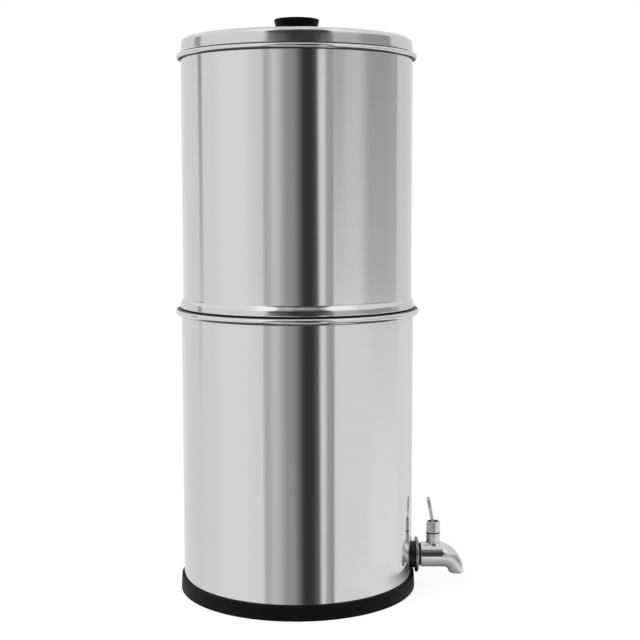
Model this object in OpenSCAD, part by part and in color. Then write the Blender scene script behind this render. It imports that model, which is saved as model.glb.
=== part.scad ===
// Gravity water filter: two stacked steel chambers, two ceramic elements and a lever tap.
// Millimetres, Z up. z = 0 is the surface that the base ring stands on, the Z axis is the
// chambers' axis, and the tap points along +X.

/* [Chambers] */
// Outside diameter of the lower chamber's wall
lower_d = 219.6; // [216:0.2:230]
// Height of the lower chamber, from its underside to the top of its rim bead
lower_h = 267.2; // [220:0.2:340]
// Outside diameter of the upper chamber's wall
upper_d = 216; // [208:0.2:218]
// Height of the upper chamber, from its seat on the lower rim to the top of its own rim bead
upper_h = 236; // [215:0.5:320]
// Thickness of the chambers' sheet steel
wall_t = 0.8; // [0.6:0.1:1.2]
// Outside radius of the bend between a chamber's wall and its floor
floor_bend_r = 6; // [3:0.5:10]
// Diameter of the rolled bead round the lower chamber's rim
lower_bead_d = 6.2; // [5:0.1:8]
// Diameter of the rolled bead round the upper chamber's rim
upper_bead_d = 4.95; // [4:0.05:7]
// Angle of the slit that the curled edge leaves open next to the wall
curl_slit = 14; // [6:1:30]

/* [Foot band and nesting skirt] */
// How far the foot band stands out from the lower chamber's wall
band_out = 1; // [0.5:0.1:2]
// Height of the foot band, from its folded edge to where it meets the wall
band_h = 12.9; // [10:0.1:20]
// Angle at which the foot band leans in from its folded edge
band_lean = 8; // [0:0.5:12]
// Outside radius of the foot band's folded edge
band_edge_r = 1.5; // [1.3:0.1:2.5]
// How deep the upper chamber nests in the lower one, its floor included
skirt_depth = 22; // [14:0.5:40]
// Gap all round between the nesting skirt and the lower chamber's wall
skirt_gap = 0.6; // [0.4:0.1:1.5]
// Gap left between a folded edge and the bead it rests on
seat_gap = 0.3; // [0.2:0.05:0.5]

/* [Lid] */
// Outside diameter of the lid
lid_d = 216.4; // [215.6:0.1:218]
// Height of the lid, from its folded edge to the top of its shoulder
lid_h = 14.4; // [10:0.1:30]
// Thickness of the lid's sheet steel
lid_t = 0.8; // [0.6:0.1:1]
// Radius of the lid's shoulder
lid_shoulder_r = 4.5; // [2:0.5:8]
// Angle at which the lid's side leans in towards its shoulder
lid_draft = 3; // [0:0.5:8]
// Outside radius of the lid's folded edge
lid_edge_r = 1.1; // [1.1:0.1:1.5]
// How much the middle of the lid stands above its shoulder
lid_crown = 1.2; // [0.4:0.1:4]
// How deep the lid's inner step reaches into the upper chamber
lid_nest_h = 10; // [5:0.5:20]
// Gap all round between the lid's inner step and the upper chamber's wall
lid_gap = 0.6; // [0.4:0.1:1.5]

/* [Knob] */
// Diameter of the knob's top
knob_top_d = 42; // [34:0.5:50]
// Diameter of the knob's base
knob_base_d = 34; // [24:0.5:40]
// Height of the knob
knob_h = 18.4; // [14:0.2:26]
// Radius of the knob's top edge
knob_edge_r = 0.9; // [0.4:0.1:2]
// How much the knob's top is crowned
knob_crown = 0.5; // [0.2:0.1:2]
// Diameter of the knob's screw
screw_d = 5; // [4:0.5:6]
// Length of the screw inside the knob
screw_reach = 11; // [6:0.5:12]
// Diameter of the screw's head
screw_head_d = 9.5; // [8:0.5:12]
// Height of the screw's head
screw_head_h = 3; // [2:0.25:4]
// Diameter of the knob's washer
knob_washer_d = 15; // [12:0.5:22]
// Thickness of the knob's washer
knob_washer_t = 1.2; // [0.8:0.1:2]

/* [Base ring] */
// Height of the rubber ring round the base
ring_h = 13.9; // [9:0.1:14]
// Thickness of the ring's wall at its foot
ring_t = 2.7; // [2:0.1:3.2]
// How much thinner the ring's wall is at its top
ring_draft = 0.5; // [0:0.1:1]
// Radius of the ring's top edge
ring_edge_r = 0.8; // [0.3:0.1:0.9]
// Thickness of the ring's lip under the chamber
lip_t = 3; // [2:0.25:6]
// Width of the lip under the chamber, measured in from the ring's wall
lip_w = 13; // [9:0.5:25]
// Gap all round between the chamber's wall and the ring
ring_gap = 0.2; // [0.1:0.05:0.5]

/* [Filter elements] */
// Diameter of a ceramic element
candle_d = 66; // [50:1:72]
// Height of a ceramic element above its base cap's floor
candle_h = 175; // [120:1:180]
// Thickness of a ceramic element's wall
candle_wall = 8; // [5:0.5:12]
// Diameter of the circle that the floor's four holes lie on
hole_pcd = 100; // [84:1:120]
// Thickness of a base cap's floor and rim
cap_t = 3; // [2:0.25:5]
// Height of a base cap's rim above its floor
cap_rim_h = 11; // [6:0.5:20]
// Gap between an element and its base cap's rim
cap_gap = 0.3; // [0.2:0.05:0.6]
// Outside diameter of the stems through the floor
stem_d = 12; // [10:0.5:14]
// Bore of an element's stem
stem_bore_d = 5; // [3:0.5:7]
// Length of a stem below its head
stem_l = 26; // [20:0.5:40]
// Diameter of the rubber washers on the floor
floor_washer_d = 28; // [22:1:36]
// Thickness of the rubber washers on the floor
floor_washer_t = 3; // [2:0.25:5]
// Gap round a stem in the floor's hole and in its washer
stem_gap = 0.3; // [0.2:0.05:0.5]
// Diameter of a blanking plug's head
plug_head_d = 24; // [20:1:32]
// Height of a blanking plug's head
plug_head_h = 4; // [3:0.5:8]
// Diameter of a wing nut's hub
wing_hub_d = 18; // [16:0.5:24]
// Height of a wing nut's hub
wing_hub_h = 8; // [6:0.5:12]
// Radius of a wing nut's wings
wing_r = 7; // [5:0.5:10]
// Thickness of a wing nut's wings
wing_t = 3; // [2:0.25:5]
// Gap in every screw thread
thread_gap = 0.05; // [0.03:0.01:0.1]

/* [Tap body] */
// Height of the tap's axis
tap_z = 28; // [28:0.5:60]
// Outside diameter of the tap's tube
tube_d = 24; // [20:0.2:28]
// Length of the tap's straight tube
tube_l = 18.5; // [16:0.5:24]
// Diameter of the threaded shank through the wall
shank_d = 16; // [14:0.5:18]
// Bore of the shank
shank_bore_d = 9; // [6:0.5:10]
// Length of shank beyond the nut
shank_end_l = 3.1; // [1:0.1:12]
// Distance from the tube's end to the middle of the bonnet
bonnet_x = 12.5; // [10.5:0.5:13]
// Outside diameter of the bonnet
bonnet_d = 13.4; // [12.4:0.2:15]
// Height of the bonnet socket above the tap's axis
socket_h = 21.3; // [17:0.1:30]
// Radius of the blend between the tube and the bonnet
blend_r = 2; // [1:0.25:3]
// Distance from the tube's end to the middle of the outlet
outlet_x = 35.8; // [34:0.2:44]
// Outside diameter of the outlet
outlet_d = 12.8; // [10:0.2:14]
// How far the outlet's mouth lies below the tap's axis
outlet_drop = 18; // [16:0.2:26]
// Bore of the outlet's mouth
mouth_d = 8.4; // [7:0.2:9]
// Depth of the outlet's mouth
mouth_h = 3.5; // [2:0.5:5]
// Bore of the channel in the spout
channel_d = 5; // [4:0.2:5.4]
// Radius of the channel's bend
channel_bend_r = 11; // [9.5:0.5:12]
// How far the channel lies off the middle of the outlet, towards the wall
channel_shift = 1.5; // [1.2:0.1:1.6]

/* [Tap fastening] */
// Diameter of the black washer against the wall
outer_washer_d = 25.6; // [24:0.2:28]
// Thickness of the black washer against the wall
outer_washer_t = 3.4; // [2:0.1:5]
// Diameter of the steel disc
disc_d = 34.4; // [28:0.2:40]
// Thickness of the steel disc
disc_t = 3.2; // [2:0.1:5]
// Diameter of the disc's hub
hub_d = 18; // [17:0.2:19]
// Length of the disc's hub
hub_l = 2.2; // [2:0.1:5]
// Thickness of the O-ring on the disc's hub
o_ring_t = 1.6; // [1.5:0.1:2.2]
// Diameter of the washer on the inside of the wall
inner_washer_d = 28; // [26:0.5:32]
// Thickness of the washer on the inside of the wall, at its middle
inner_washer_t = 3.3; // [2.5:0.1:5]
// Width across the flats of the tap's nut
nut_af = 24; // [22:0.5:28]
// Thickness of the tap's nut
nut_t = 7; // [5:0.5:10]
// Gap between the shank and what it passes through
shank_gap = 0.2; // [0.1:0.05:0.4]
// Gap between a curved washer face and the wall
face_gap = 0.1; // [0.05:0.05:0.3]

/* [Valve and bonnet] */
// Bore of the valve chamber
chamber_d = 8.6; // [8:0.1:9]
// Height of the valve seat above the tap's axis
seat_h = 2; // [2:0.25:3]
// Bore of the valve seat
seat_bore_d = 6; // [4:0.2:6.4]
// Bore of the gallery below the seat
gallery_d = 6.4; // [5:0.2:6.6]
// Depth of the gallery's axis below the tap's axis
gallery_drop = 4; // [3.5:0.1:5]
// Diameter of the valve's rubber seal and of the stem's collar
seal_d = 7.8; // [7:0.1:8]
// Thickness of the valve's rubber seal
seal_t = 3; // [2:0.1:4]
// Thickness of the stem's collar
collar_t = 1.5; // [1:0.1:2.5]
// Diameter of the valve stem
rod_d = 3.2; // [2.8:0.1:3.2]
// Running gap round the stem and the lever's pin
run_gap = 0.05; // [0.02:0.01:0.1]
// Diameter of the thread on top of the bonnet socket
spigot_d = 10.9; // [10.5:0.1:11]
// Height of the thread on top of the bonnet socket
spigot_h = 4.2; // [3:0.1:6]
// Thickness of the stem guide's flange
flange_t = 1.3; // [1:0.1:2]
// Depth of the stem guide in the valve chamber
guide_h = 5; // [3.5:0.1:7]
// Thickness of the stem's O-ring
stem_ring_t = 1; // [0.8:0.1:1.2]
// Thickness of the black seal ring under the cap
gasket_t = 1; // [0.6:0.1:2]
// How far the seal ring under the cap stands out
gasket_out = 0.05; // [0:0.05:0.3]
// Height of the bonnet cap
cap_h = 10.5; // [9.7:0.1:12]
// Diameter of the cap's mouth
cap_mouth_d = 10.4; // [10:0.1:10.6]
// Radius of the cap's top edge
cap_edge_r = 1; // [0.4:0.1:1.1]
// Mean radius of the valve spring
spring_r = 3.2; // [2.8:0.1:3.3]
// Diameter of the spring's wire
wire_d = 0.8; // [0.6:0.1:1]
// Number of turns of the spring, its closed ends included
spring_turns = 7; // [5:1:9]

/* [Lever] */
// How far the lever leans towards the chamber when the tap is closed
lever_lean = 12; // [0:0.5:12]
// Length of the lever above its pin
lever_l = 29.6; // [24:0.1:40]
// Width of the lever's blade
blade_w = 10.5; // [8:0.5:14]
// Thickness of the lever's blade
blade_t = 3; // [1.2:0.1:3.2]
// Width of the lever's neck
neck_w = 3.6; // [3:0.1:4]
// Thickness of the lever's fork
fork_t = 2.6; // [2:0.1:2.6]
// Thickness of each of the fork's cheeks
cheek_t = 1.1; // [1:0.1:1.3]
// Radius of the lever's heel
heel_r = 2.1; // [2:0.05:2.3]
// How far the heel's centre lies from the pin
heel_offset = 1.7; // [1:0.05:1.8]
// Radius of the fork round the pin
fork_r = 1.9; // [1.5:0.05:2]
// Diameter of the lever's pin
pin_d = 1.6; // [1.2:0.1:2]
// Gap between the lever's heel and the stem guide when the tap is closed
heel_gap = 0.3; // [0.2:0.05:0.5]

/* [Hidden] */
$fn = 96;
wall_fn = 720;

// Where a round edge of radius edge_r, centred at radius edge_c, sits on a bead
function seat_rise(bead_d, bead_c, edge_c, edge_r) =
  round(100 * sqrt(pow(bead_d / 2 + edge_r + seat_gap, 2) - pow(bead_c - edge_c, 2))) / 100;

// Lower chamber
lower_r = lower_d / 2;
lower_in_r = lower_r - wall_t;
lower_floor_z = lip_t;
lower_curl_z = lower_floor_z + lower_h - lower_bead_d / 2;
lower_curl_r = lower_in_r + lower_bead_d / 2;

// Upper chamber
upper_r = upper_d / 2;
upper_in_r = upper_r - wall_t;
band_r = lower_r + band_out;
band_edge_c = band_r - band_edge_r;
upper_seat_z = lower_curl_z - band_edge_r
  + seat_rise(lower_bead_d, lower_curl_r, band_edge_c, band_edge_r);
upper_curl_z = upper_seat_z + upper_h - upper_bead_d / 2;
upper_curl_r = upper_in_r + upper_bead_d / 2;
skirt_r = lower_in_r - skirt_gap;
upper_floor_z = upper_seat_z - skirt_depth;
upper_floor_top = upper_floor_z + wall_t;

// Lid and knob
lid_r = lid_d / 2;
lid_edge_c = lid_r - lid_edge_r;
lid_nest_r = upper_in_r - lid_gap;
lid_seat_z = upper_curl_z - lid_edge_r
  + seat_rise(upper_bead_d, upper_curl_r, lid_edge_c, lid_edge_r);
lid_shoulder_z = lid_seat_z + lid_h - lid_shoulder_r;
knob_z = lid_seat_z + lid_h + lid_crown;
knob_land_r = knob_base_d / 2 + 1;
screw_r = screw_d / 2;
screw_gap = 0.3;
washer_top_z = knob_z - lid_t;
screw_head_z = washer_top_z - knob_washer_t;

// Base ring
ring_in_r = lower_r + ring_gap;
ring_out_r = ring_in_r + ring_t;

// Filter elements
hole_r = stem_d / 2 + stem_gap;
washer_z = upper_floor_top + floor_washer_t;
cap_in_r = candle_d / 2 + cap_gap;

// Tap, along +X from the wall
disc_x = lower_r + outer_washer_t;
tube_x = disc_x + disc_t + hub_l;
nut_x = lower_in_r - face_gap - inner_washer_t - nut_t;
shank_x = nut_x - shank_end_l;
tube_r = tube_d / 2;
shank_r = shank_d / 2;
bonnet_c = tube_x + bonnet_x;
spout_x = tube_x + tube_l;
outlet_c = tube_x + outlet_x;
outlet_z = tap_z - outlet_drop;

// Valve and bonnet, up from the tap's axis
seat_z = tap_z + seat_h;
collar_z = seat_z + seal_t;
socket_z = tap_z + socket_h;
spigot_z = socket_z + spigot_h;
guide_z = spigot_z - guide_h;
ledge_z = spigot_z + flange_t;
cap_z = socket_z + gasket_t;
pin_z = ledge_z + heel_gap + heel_r;
rod_r = rod_d / 2;
rod_top_z = pin_z + pin_d / 2 + 0.9;
cheek_gap = 0.1;
cheek_y = rod_r + cheek_gap;

// Steps round the outline curves that are worked out point by point
arc_steps = 8;
function ease(u) = u * u * (3 - 2 * u);
function arc(c, r, a0, a1, n = arc_steps) =
  [for (i = [0:n]) c + r * [cos(a0 + (a1 - a0) * i / n), sin(a0 + (a1 - a0) * i / n)]];
function bezier(p, u) =
  pow(1 - u, 3) * p[0] + 3 * u * pow(1 - u, 2) * p[1] + 3 * u * u * (1 - u) * p[2]
  + pow(u, 3) * p[3];

// How far neighbouring parts of one section run into each other
weld = 0.1;

// A quarter bend in sheet of thickness t, outside radius r, turning from angle a to a + 90
module bend(c, r, t, a) {
  translate(c) rotate(a)
    difference() {
      intersection() {
        circle(r);
        square(r);
      }
      circle(r - t);
    }
}

// The section of a rim curled outwards from a wall of inside radius wall_in_r
module curl(wall_in_r, z, d) {
  r = d / 2;
  start = 180 + acos((r - wall_t) / r);
  translate([wall_in_r + r, z])
    difference() {
      circle(r);
      circle(r - wall_t);
      polygon([[0, 0], d * [cos(start), sin(start)],
               d * [cos(start + curl_slit), sin(start + curl_slit)]]);
    }
}

// The section of a floor, its bend and the wall above it, from the axis out to radius r
module tub(r, z, top) {
  translate([0, z]) square([r - floor_bend_r, wall_t]);
  bend([r - floor_bend_r, z + floor_bend_r], floor_bend_r, wall_t, -90);
  translate([r - wall_t, z + floor_bend_r]) square([wall_t, top - z - floor_bend_r]);
}

// Turns what is drawn along Z to lie along +X on the tap's axis
module on_tap(x, z = tap_z) {
  translate([x, 0, z]) rotate([0, 90, 0]) children();
}

// A ring of inside radius r0 and outside radius r1
module ring(r0, r1, h) {
  difference() {
    cylinder(r = r1, h = h);
    translate([0, 0, -h]) cylinder(r = r0, h = 3 * h);
  }
}

// Puts a copy at each of the given angles on the circle of the floor's holes
module at_holes(angles) {
  for (a = angles) rotate(a) translate([hole_pcd / 2, 0, 0]) children();
}

module base_ring() {
  top_r = ring_out_r - ring_draft;
  color("#1c1c1d")
    rotate_extrude()
      polygon(concat(
        [[ring_in_r - lip_w, 0], [ring_out_r, 0]],
        arc([top_r - ring_edge_r, ring_h - ring_edge_r], ring_edge_r, 0, 90),
        [[ring_in_r, ring_h], [ring_in_r, lip_t], [ring_in_r - lip_w, lip_t]]));
}

module lower_chamber() {
  color("#c6c8ca")
    difference() {
      rotate_extrude() {
        tub(lower_r, lower_floor_z, lower_curl_z);
        curl(lower_in_r, lower_curl_z, lower_bead_d);
      }
      on_tap(lower_in_r - floor_bend_r)
        cylinder(r = shank_r + shank_gap, h = 2 * floor_bend_r);
    }
}

// The section of the foot band: the flare out of the wall, which ends in a lean, and its fold
module foot_band() {
  steps = 12;
  flare_top = upper_seat_z + band_h;
  flare_h = band_h - band_edge_r;
  flare_w = band_r - upper_r;
  lean = tan(band_lean) * flare_h;
  flare = [for (i = [steps:-1:0]) let (u = i / steps)
    [upper_r + flare_w * ease(u) - lean * u * u * (1 - u), flare_top - flare_h * u]];
  outer = concat([[band_r, upper_seat_z + band_edge_r - weld]], flare,
                 [[upper_r, flare_top + weld]]);
  inner = [for (i = [len(outer) - 1:-1:0]) outer[i] - [wall_t, 0]];
  polygon(concat(outer, inner));
  bend([band_edge_c, upper_seat_z + band_edge_r], band_edge_r, wall_t, -90);
  translate([skirt_r - wall_t, upper_seat_z]) square([band_edge_c - skirt_r + wall_t, wall_t]);
}

module upper_chamber() {
  color("#c6c8ca")
    difference() {
      rotate_extrude() {
        tub(skirt_r, upper_floor_z, upper_seat_z + wall_t);
        foot_band();
        translate([upper_in_r, upper_seat_z + band_h])
          square([wall_t, upper_curl_z - upper_seat_z - band_h]);
        curl(upper_in_r, upper_curl_z, upper_bead_d);
      }
      at_holes([0, 90, 180, 270])
        translate([0, 0, upper_floor_z - wall_t]) cylinder(r = hole_r, h = 3 * wall_t);
    }
}

module lid() {
  steps = 12;
  lean = [cos(lid_draft), sin(lid_draft)];
  edge_c = [lid_edge_c, lid_seat_z + lid_edge_r];
  inset = lid_shoulder_r - lid_edge_r;
  side_l = (lid_shoulder_z - edge_c.y + inset * lean.y) / lean.x;
  shoulder_c = edge_c.x - inset * lean.x - side_l * lean.y;
  crown = [for (i = [arc_steps:-1:0])
    [knob_land_r + (shoulder_c - knob_land_r) * i / arc_steps,
     lid_shoulder_z + lid_shoulder_r + lid_crown * (1 - pow(i / arc_steps, 2))]];
  hole = screw_r + screw_gap;
  top = concat([[shoulder_c + weld, lid_seat_z + lid_h]], crown, [[hole, knob_z]]);
  under = [for (i = [len(top) - 1:-1:0]) top[i] - [0, lid_t]];
  color("#c9cbcd")
    rotate_extrude() {
      polygon(concat(top, under));
      polygon(concat(
        arc(edge_c, lid_edge_r, -90, lid_draft),
        arc([shoulder_c, lid_shoulder_z], lid_shoulder_r, lid_draft, 90, steps),
        arc([shoulder_c, lid_shoulder_z], lid_shoulder_r - lid_t, 90, lid_draft, steps),
        arc(edge_c, lid_edge_r - lid_t, lid_draft, -90)));
      translate([lid_nest_r - lid_t, lid_seat_z])
        square([lid_edge_c - lid_nest_r + lid_t + weld / 10, lid_t]);
      translate([lid_nest_r - lid_t, lid_seat_z - lid_nest_h]) square([lid_t, lid_nest_h + lid_t]);
    }
}

module knob() {
  top_r = knob_top_d / 2;
  edge_z = knob_z + knob_h - knob_crown - knob_edge_r;
  land_r = top_r - knob_edge_r;
  crown = [for (i = [1:arc_steps])
    [land_r * (1 - i / arc_steps),
     edge_z + knob_edge_r + knob_crown * (1 - pow(1 - i / arc_steps, 2))]];
  color("#161617")
    difference() {
      rotate_extrude()
        polygon(concat([[0, knob_z], [knob_base_d / 2, knob_z]],
                       arc([land_r, edge_z], knob_edge_r, 0, 90), crown));
      translate([0, 0, knob_z - 1]) cylinder(r = screw_r + thread_gap, h = screw_reach + 2);
    }
}

module knob_screw() {
  head_r = screw_head_d / 2;
  color("#b9bbbd")
    union() {
      translate([0, 0, screw_head_z - screw_head_h / 2])
        cylinder(r = screw_r, h = knob_z - screw_head_z + screw_head_h / 2 + screw_reach);
      rotate_extrude()
        polygon(concat([[0, screw_head_z - screw_head_h]],
                       arc([head_r - screw_head_h / 2, screw_head_z - screw_head_h / 2],
                           screw_head_h / 2, -90, 0),
                       [[head_r, screw_head_z], [0, screw_head_z]]));
    }
}

module knob_washer() {
  color("#b9bbbd")
    translate([0, 0, screw_head_z])
      ring(screw_r + screw_gap, knob_washer_d / 2, knob_washer_t);
}

// One ceramic element: a domed shell that stands in its base cap
module candle() {
  r = candle_d / 2;
  color("#efece4")
    translate([0, 0, washer_z + cap_t])
      rotate_extrude() {
        translate([r - candle_wall, 0]) square([candle_wall, candle_h - r]);
        bend([0, candle_h - r], r, candle_wall, 0);
      }
}

// One base cap, with the drilled stem that goes through the floor
module candle_base() {
  color("#f4f4f2")
    translate([0, 0, washer_z])
      difference() {
        union() {
          cylinder(r = cap_in_r + cap_t / 2, h = cap_t + cap_rim_h);
          translate([0, 0, -stem_l]) cylinder(r = stem_d / 2, h = stem_l + cap_t / 2);
        }
        translate([0, 0, cap_t]) cylinder(r = cap_in_r, h = 2 * cap_rim_h);
        translate([0, 0, -2 * stem_l]) cylinder(r = stem_bore_d / 2, h = 4 * stem_l);
      }
}

module floor_washer() {
  color("#262626")
    translate([0, 0, upper_floor_top])
      ring(stem_d / 2 + stem_gap, floor_washer_d / 2, floor_washer_t);
}

// One wing nut, screwed up against the underside of the floor
module wing_nut() {
  hub_r = wing_hub_d / 2;
  color("#e8e8e5")
    translate([0, 0, upper_floor_z - wing_hub_h])
      difference() {
        union() {
          cylinder(r = hub_r, h = wing_hub_h);
          for (side = [0, 180])
            rotate([90, 0, side])
              linear_extrude(wing_t, center = true) {
                translate([hub_r + wing_r / 2, wing_hub_h - wing_r]) circle(wing_r);
                translate([0, wing_hub_h - 2 * wing_r]) square([hub_r + wing_r / 2, 2 * wing_r]);
              }
        }
        translate([0, 0, -2 * wing_r])
          cylinder(r = stem_d / 2 + thread_gap, h = wing_hub_h + 4 * wing_r);
        translate([0, 0, -4 * wing_r]) cylinder(r = 3 * hub_r, h = 4 * wing_r);
      }
}

module blanking_plug() {
  head_r = plug_head_d / 2;
  edge_r = plug_head_h / 2;
  color("#f4f4f2")
    translate([0, 0, washer_z])
      union() {
        rotate_extrude()
          polygon(concat([[0, 0], [head_r, 0]], arc([head_r - edge_r, edge_r], edge_r, 0, 90),
                         [[0, plug_head_h]]));
        translate([0, 0, -stem_l]) cylinder(r = stem_d / 2, h = stem_l + plug_head_h / 2);
      }
}

module candle_left() { at_holes([180]) candle(); }
module candle_right() { at_holes([0]) candle(); }
module candle_base_left() { at_holes([180]) candle_base(); }
module candle_base_right() { at_holes([0]) candle_base(); }
module candle_washers() { at_holes([0, 180]) floor_washer(); }
module candle_wing_nuts() { at_holes([0, 180]) wing_nut(); }
module blanking_plugs() { at_holes([90, 270]) blanking_plug(); }
module plug_washers() { at_holes([90, 270]) floor_washer(); }
module plug_wing_nuts() { at_holes([90, 270]) wing_nut(); }

// The outer and the inner outline of the bent spout, each a curve from the tube to the mouth
spout_sink = 0.02;
spout_top = [[spout_x, tap_z + tube_r - spout_sink],
             [spout_x + 11.2, tap_z + tube_r - spout_sink],
             [outlet_c + outlet_d / 2 + 1.9, outlet_z + 13.2],
             [outlet_c + outlet_d / 2, outlet_z]];
spout_bottom = [[spout_x, tap_z - tube_r + spout_sink],
                [spout_x + 12, tap_z - tube_r + spout_sink],
                [outlet_c - outlet_d / 2 - 3.8, outlet_z + 1.8],
                [outlet_c - outlet_d / 2, outlet_z]];

// A round section of the spout between two points of its outlines
function spout_ring(top, bottom, sides) =
  let (c = (top + bottom) / 2, u = (top - bottom) / 2, w = norm(u))
    [for (i = [0:sides - 1])
      let (a = 360 * i / sides) [c.x + u.x * cos(a), w * sin(a), c.y + u.y * cos(a)]];

// A closed skin through equal rings of points, in order along the body
module skin(rings) {
  n = len(rings[0]);
  m = len(rings);
  sides = [for (k = [0:m - 2], i = [0:n - 1])
    [k * n + i, k * n + (i + 1) % n, (k + 1) * n + (i + 1) % n, (k + 1) * n + i]];
  start = [[for (i = [n - 1:-1:0]) i]];
  end = [[for (i = [0:n - 1]) (m - 1) * n + i]];
  polyhedron(points = [for (r = rings, p = r) p], faces = concat(start, sides, end));
}

module spout() {
  sides = 36;
  steps = 16;
  back = [[spout_x - 1, tap_z + tube_r - spout_sink], [spout_x - 1, tap_z - tube_r + spout_sink]];
  rings = concat(
    [spout_ring(back[0], back[1], sides)],
    [for (k = [0:steps])
      spout_ring(bezier(spout_top, k / steps), bezier(spout_bottom, k / steps), sides)]);
  skin(rings);
}

// The bent channel from the valve chamber to the mouth
module spout_channel() {
  channel_r = channel_d / 2;
  end_x = outlet_c - channel_shift;
  end_z = outlet_z + mouth_h - 0.5;
  bend_x = end_x - channel_bend_r;
  bend_z = seat_z - channel_bend_r;
  start_x = bonnet_c + seal_d / 2 + face_gap;
  on_tap(start_x, seat_z) cylinder(r = channel_r, h = bend_x - start_x);
  translate([bend_x, 0, bend_z])
    rotate([90, 0, 0])
      rotate_extrude(angle = 90)
        translate([channel_bend_r, 0]) circle(channel_r);
  translate([end_x, 0, end_z]) cylinder(r = channel_r, h = bend_z - end_z);
  translate([outlet_c, 0, outlet_z - mouth_h]) cylinder(r = mouth_d / 2, h = 2 * mouth_h);
}

// The blend at the foot of the bonnet, only where the tube's top carries it
module bonnet_blend() {
  foot = bonnet_d / 2;
  sink = 0.7 * blend_r;
  blend_z = tap_z + tube_r - sink;
  intersection() {
    translate([bonnet_c, 0, blend_z])
      rotate_extrude()
        difference() {
          square([foot + blend_r, blend_r + sink]);
          translate([foot + blend_r, blend_r + sink]) circle(blend_r);
        }
    translate([bonnet_c - 2 * foot, -foot / 2, blend_z]) cube([4 * foot, foot, 2 * blend_r]);
  }
}

module tap_body() {
  tube_edge = 0.5;
  shank_bore_end = tube_x + 4;
  gallery_r = gallery_d / 2;
  color("#b6b8ba")
    difference() {
      union() {
        on_tap(tube_x) cylinder(r1 = tube_r - tube_edge, r2 = tube_r, h = tube_edge);
        on_tap(tube_x + tube_edge) cylinder(r = tube_r, h = tube_l - tube_edge);
        on_tap(shank_x) cylinder(r = shank_r, h = tube_x + 2 * tube_edge - shank_x);
        translate([bonnet_c, 0, tap_z]) cylinder(r = bonnet_d / 2, h = socket_h);
        translate([bonnet_c, 0, tap_z]) cylinder(r = spigot_d / 2, h = socket_h + spigot_h);
        bonnet_blend();
        spout();
      }
      on_tap(shank_x - 1) cylinder(r = shank_bore_d / 2, h = shank_bore_end - shank_x + 1);
      on_tap(tube_x, tap_z - gallery_drop) cylinder(r = gallery_r, h = bonnet_x + gallery_r);
      translate([bonnet_c, 0, tap_z - gallery_drop])
        cylinder(r = seat_bore_d / 2, h = gallery_drop + seat_h + 1);
      translate([bonnet_c, 0, seat_z]) cylinder(r = chamber_d / 2, h = spigot_z);
      spout_channel();
    }
}

module tap_disc() {
  edge_r = disc_t / 2;
  bore_r = shank_r + shank_gap;
  color("#bcbec0")
    on_tap(disc_x)
      rotate_extrude() {
        translate([bore_r, 0]) square([disc_d / 2 - edge_r - bore_r, disc_t]);
        bend([disc_d / 2 - edge_r, edge_r], edge_r, edge_r, 0);
        bend([disc_d / 2 - edge_r, edge_r], edge_r, edge_r, -90);
        translate([bore_r, disc_t]) square([hub_d / 2 - bore_r, hub_l]);
      }
}

module tap_outer_washer() {
  color("#161616")
    difference() {
      on_tap(lower_r - outer_washer_t)
        ring(shank_r + shank_gap, outer_washer_d / 2, 2 * outer_washer_t);
      cylinder(r = lower_r + face_gap, h = 2 * (tap_z + outer_washer_d), $fn = wall_fn);
    }
}

module tap_inner_washer() {
  color("#161616")
    intersection() {
      on_tap(nut_x + nut_t)
        ring(shank_r + shank_gap, inner_washer_d / 2, 2 * inner_washer_t);
      cylinder(r = lower_in_r - face_gap, h = 2 * (tap_z + inner_washer_d), $fn = wall_fn);
    }
}

module tap_nut() {
  corner_r = nut_af / 2 / cos(30);
  chamfer = corner_r - nut_af / 2;
  color("#b6b8ba")
    on_tap(nut_x)
      difference() {
        intersection() {
          cylinder(r = corner_r, h = nut_t, $fn = 6);
          rotate_extrude()
            polygon([[0, 0], [nut_af / 2, 0], [corner_r, chamfer / 2],
                     [corner_r, nut_t - chamfer / 2], [nut_af / 2, nut_t], [0, nut_t]]);
        }
        translate([0, 0, -1]) cylinder(r = shank_r + thread_gap, h = nut_t + 2);
      }
}

module tap_o_ring() {
  ring_r = o_ring_t / 2;
  color("#121212")
    on_tap(tube_x - ring_r)
      rotate_extrude()
        translate([hub_d / 2 + shank_gap + ring_r, 0]) circle(ring_r);
}

module bonnet_cap() {
  cap_r = bonnet_d / 2;
  color("#bcbec0")
    translate([bonnet_c, 0, cap_z])
      difference() {
        rotate_extrude()
          polygon(concat([[0, 0], [cap_r, 0]],
                         arc([cap_r - cap_edge_r, cap_h - cap_edge_r], cap_edge_r, 0, 90),
                         [[0, cap_h]]));
        translate([0, 0, -1]) cylinder(r = spigot_d / 2 + thread_gap, h = ledge_z - cap_z + 1);
        translate([0, 0, -1]) cylinder(r = cap_mouth_d / 2, h = cap_h + 2);
      }
}

module bonnet_gasket() {
  color("#121212")
    translate([bonnet_c, 0, socket_z])
      ring(spigot_d / 2 + thread_gap, bonnet_d / 2 + gasket_out, gasket_t);
}

module stem_guide() {
  groove_r = rod_r + run_gap + stem_ring_t + run_gap;
  groove_h = stem_ring_t + 2 * run_gap;
  color("#c8a15a")
    translate([bonnet_c, 0, guide_z])
      difference() {
        union() {
          cylinder(r = chamber_d / 2 - thread_gap, h = guide_h + flange_t / 2);
          translate([0, 0, guide_h]) cylinder(r = spigot_d / 2, h = flange_t);
        }
        translate([0, 0, -1]) cylinder(r = rod_r + run_gap, h = guide_h + flange_t + 2);
        translate([0, 0, (guide_h - groove_h) / 2]) cylinder(r = groove_r, h = groove_h);
      }
}

module stem_o_ring() {
  ring_r = stem_ring_t / 2;
  color("#121212")
    translate([bonnet_c, 0, guide_z + guide_h / 2])
      rotate_extrude()
        translate([rod_r + run_gap + ring_r, 0]) circle(ring_r);
}

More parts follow.
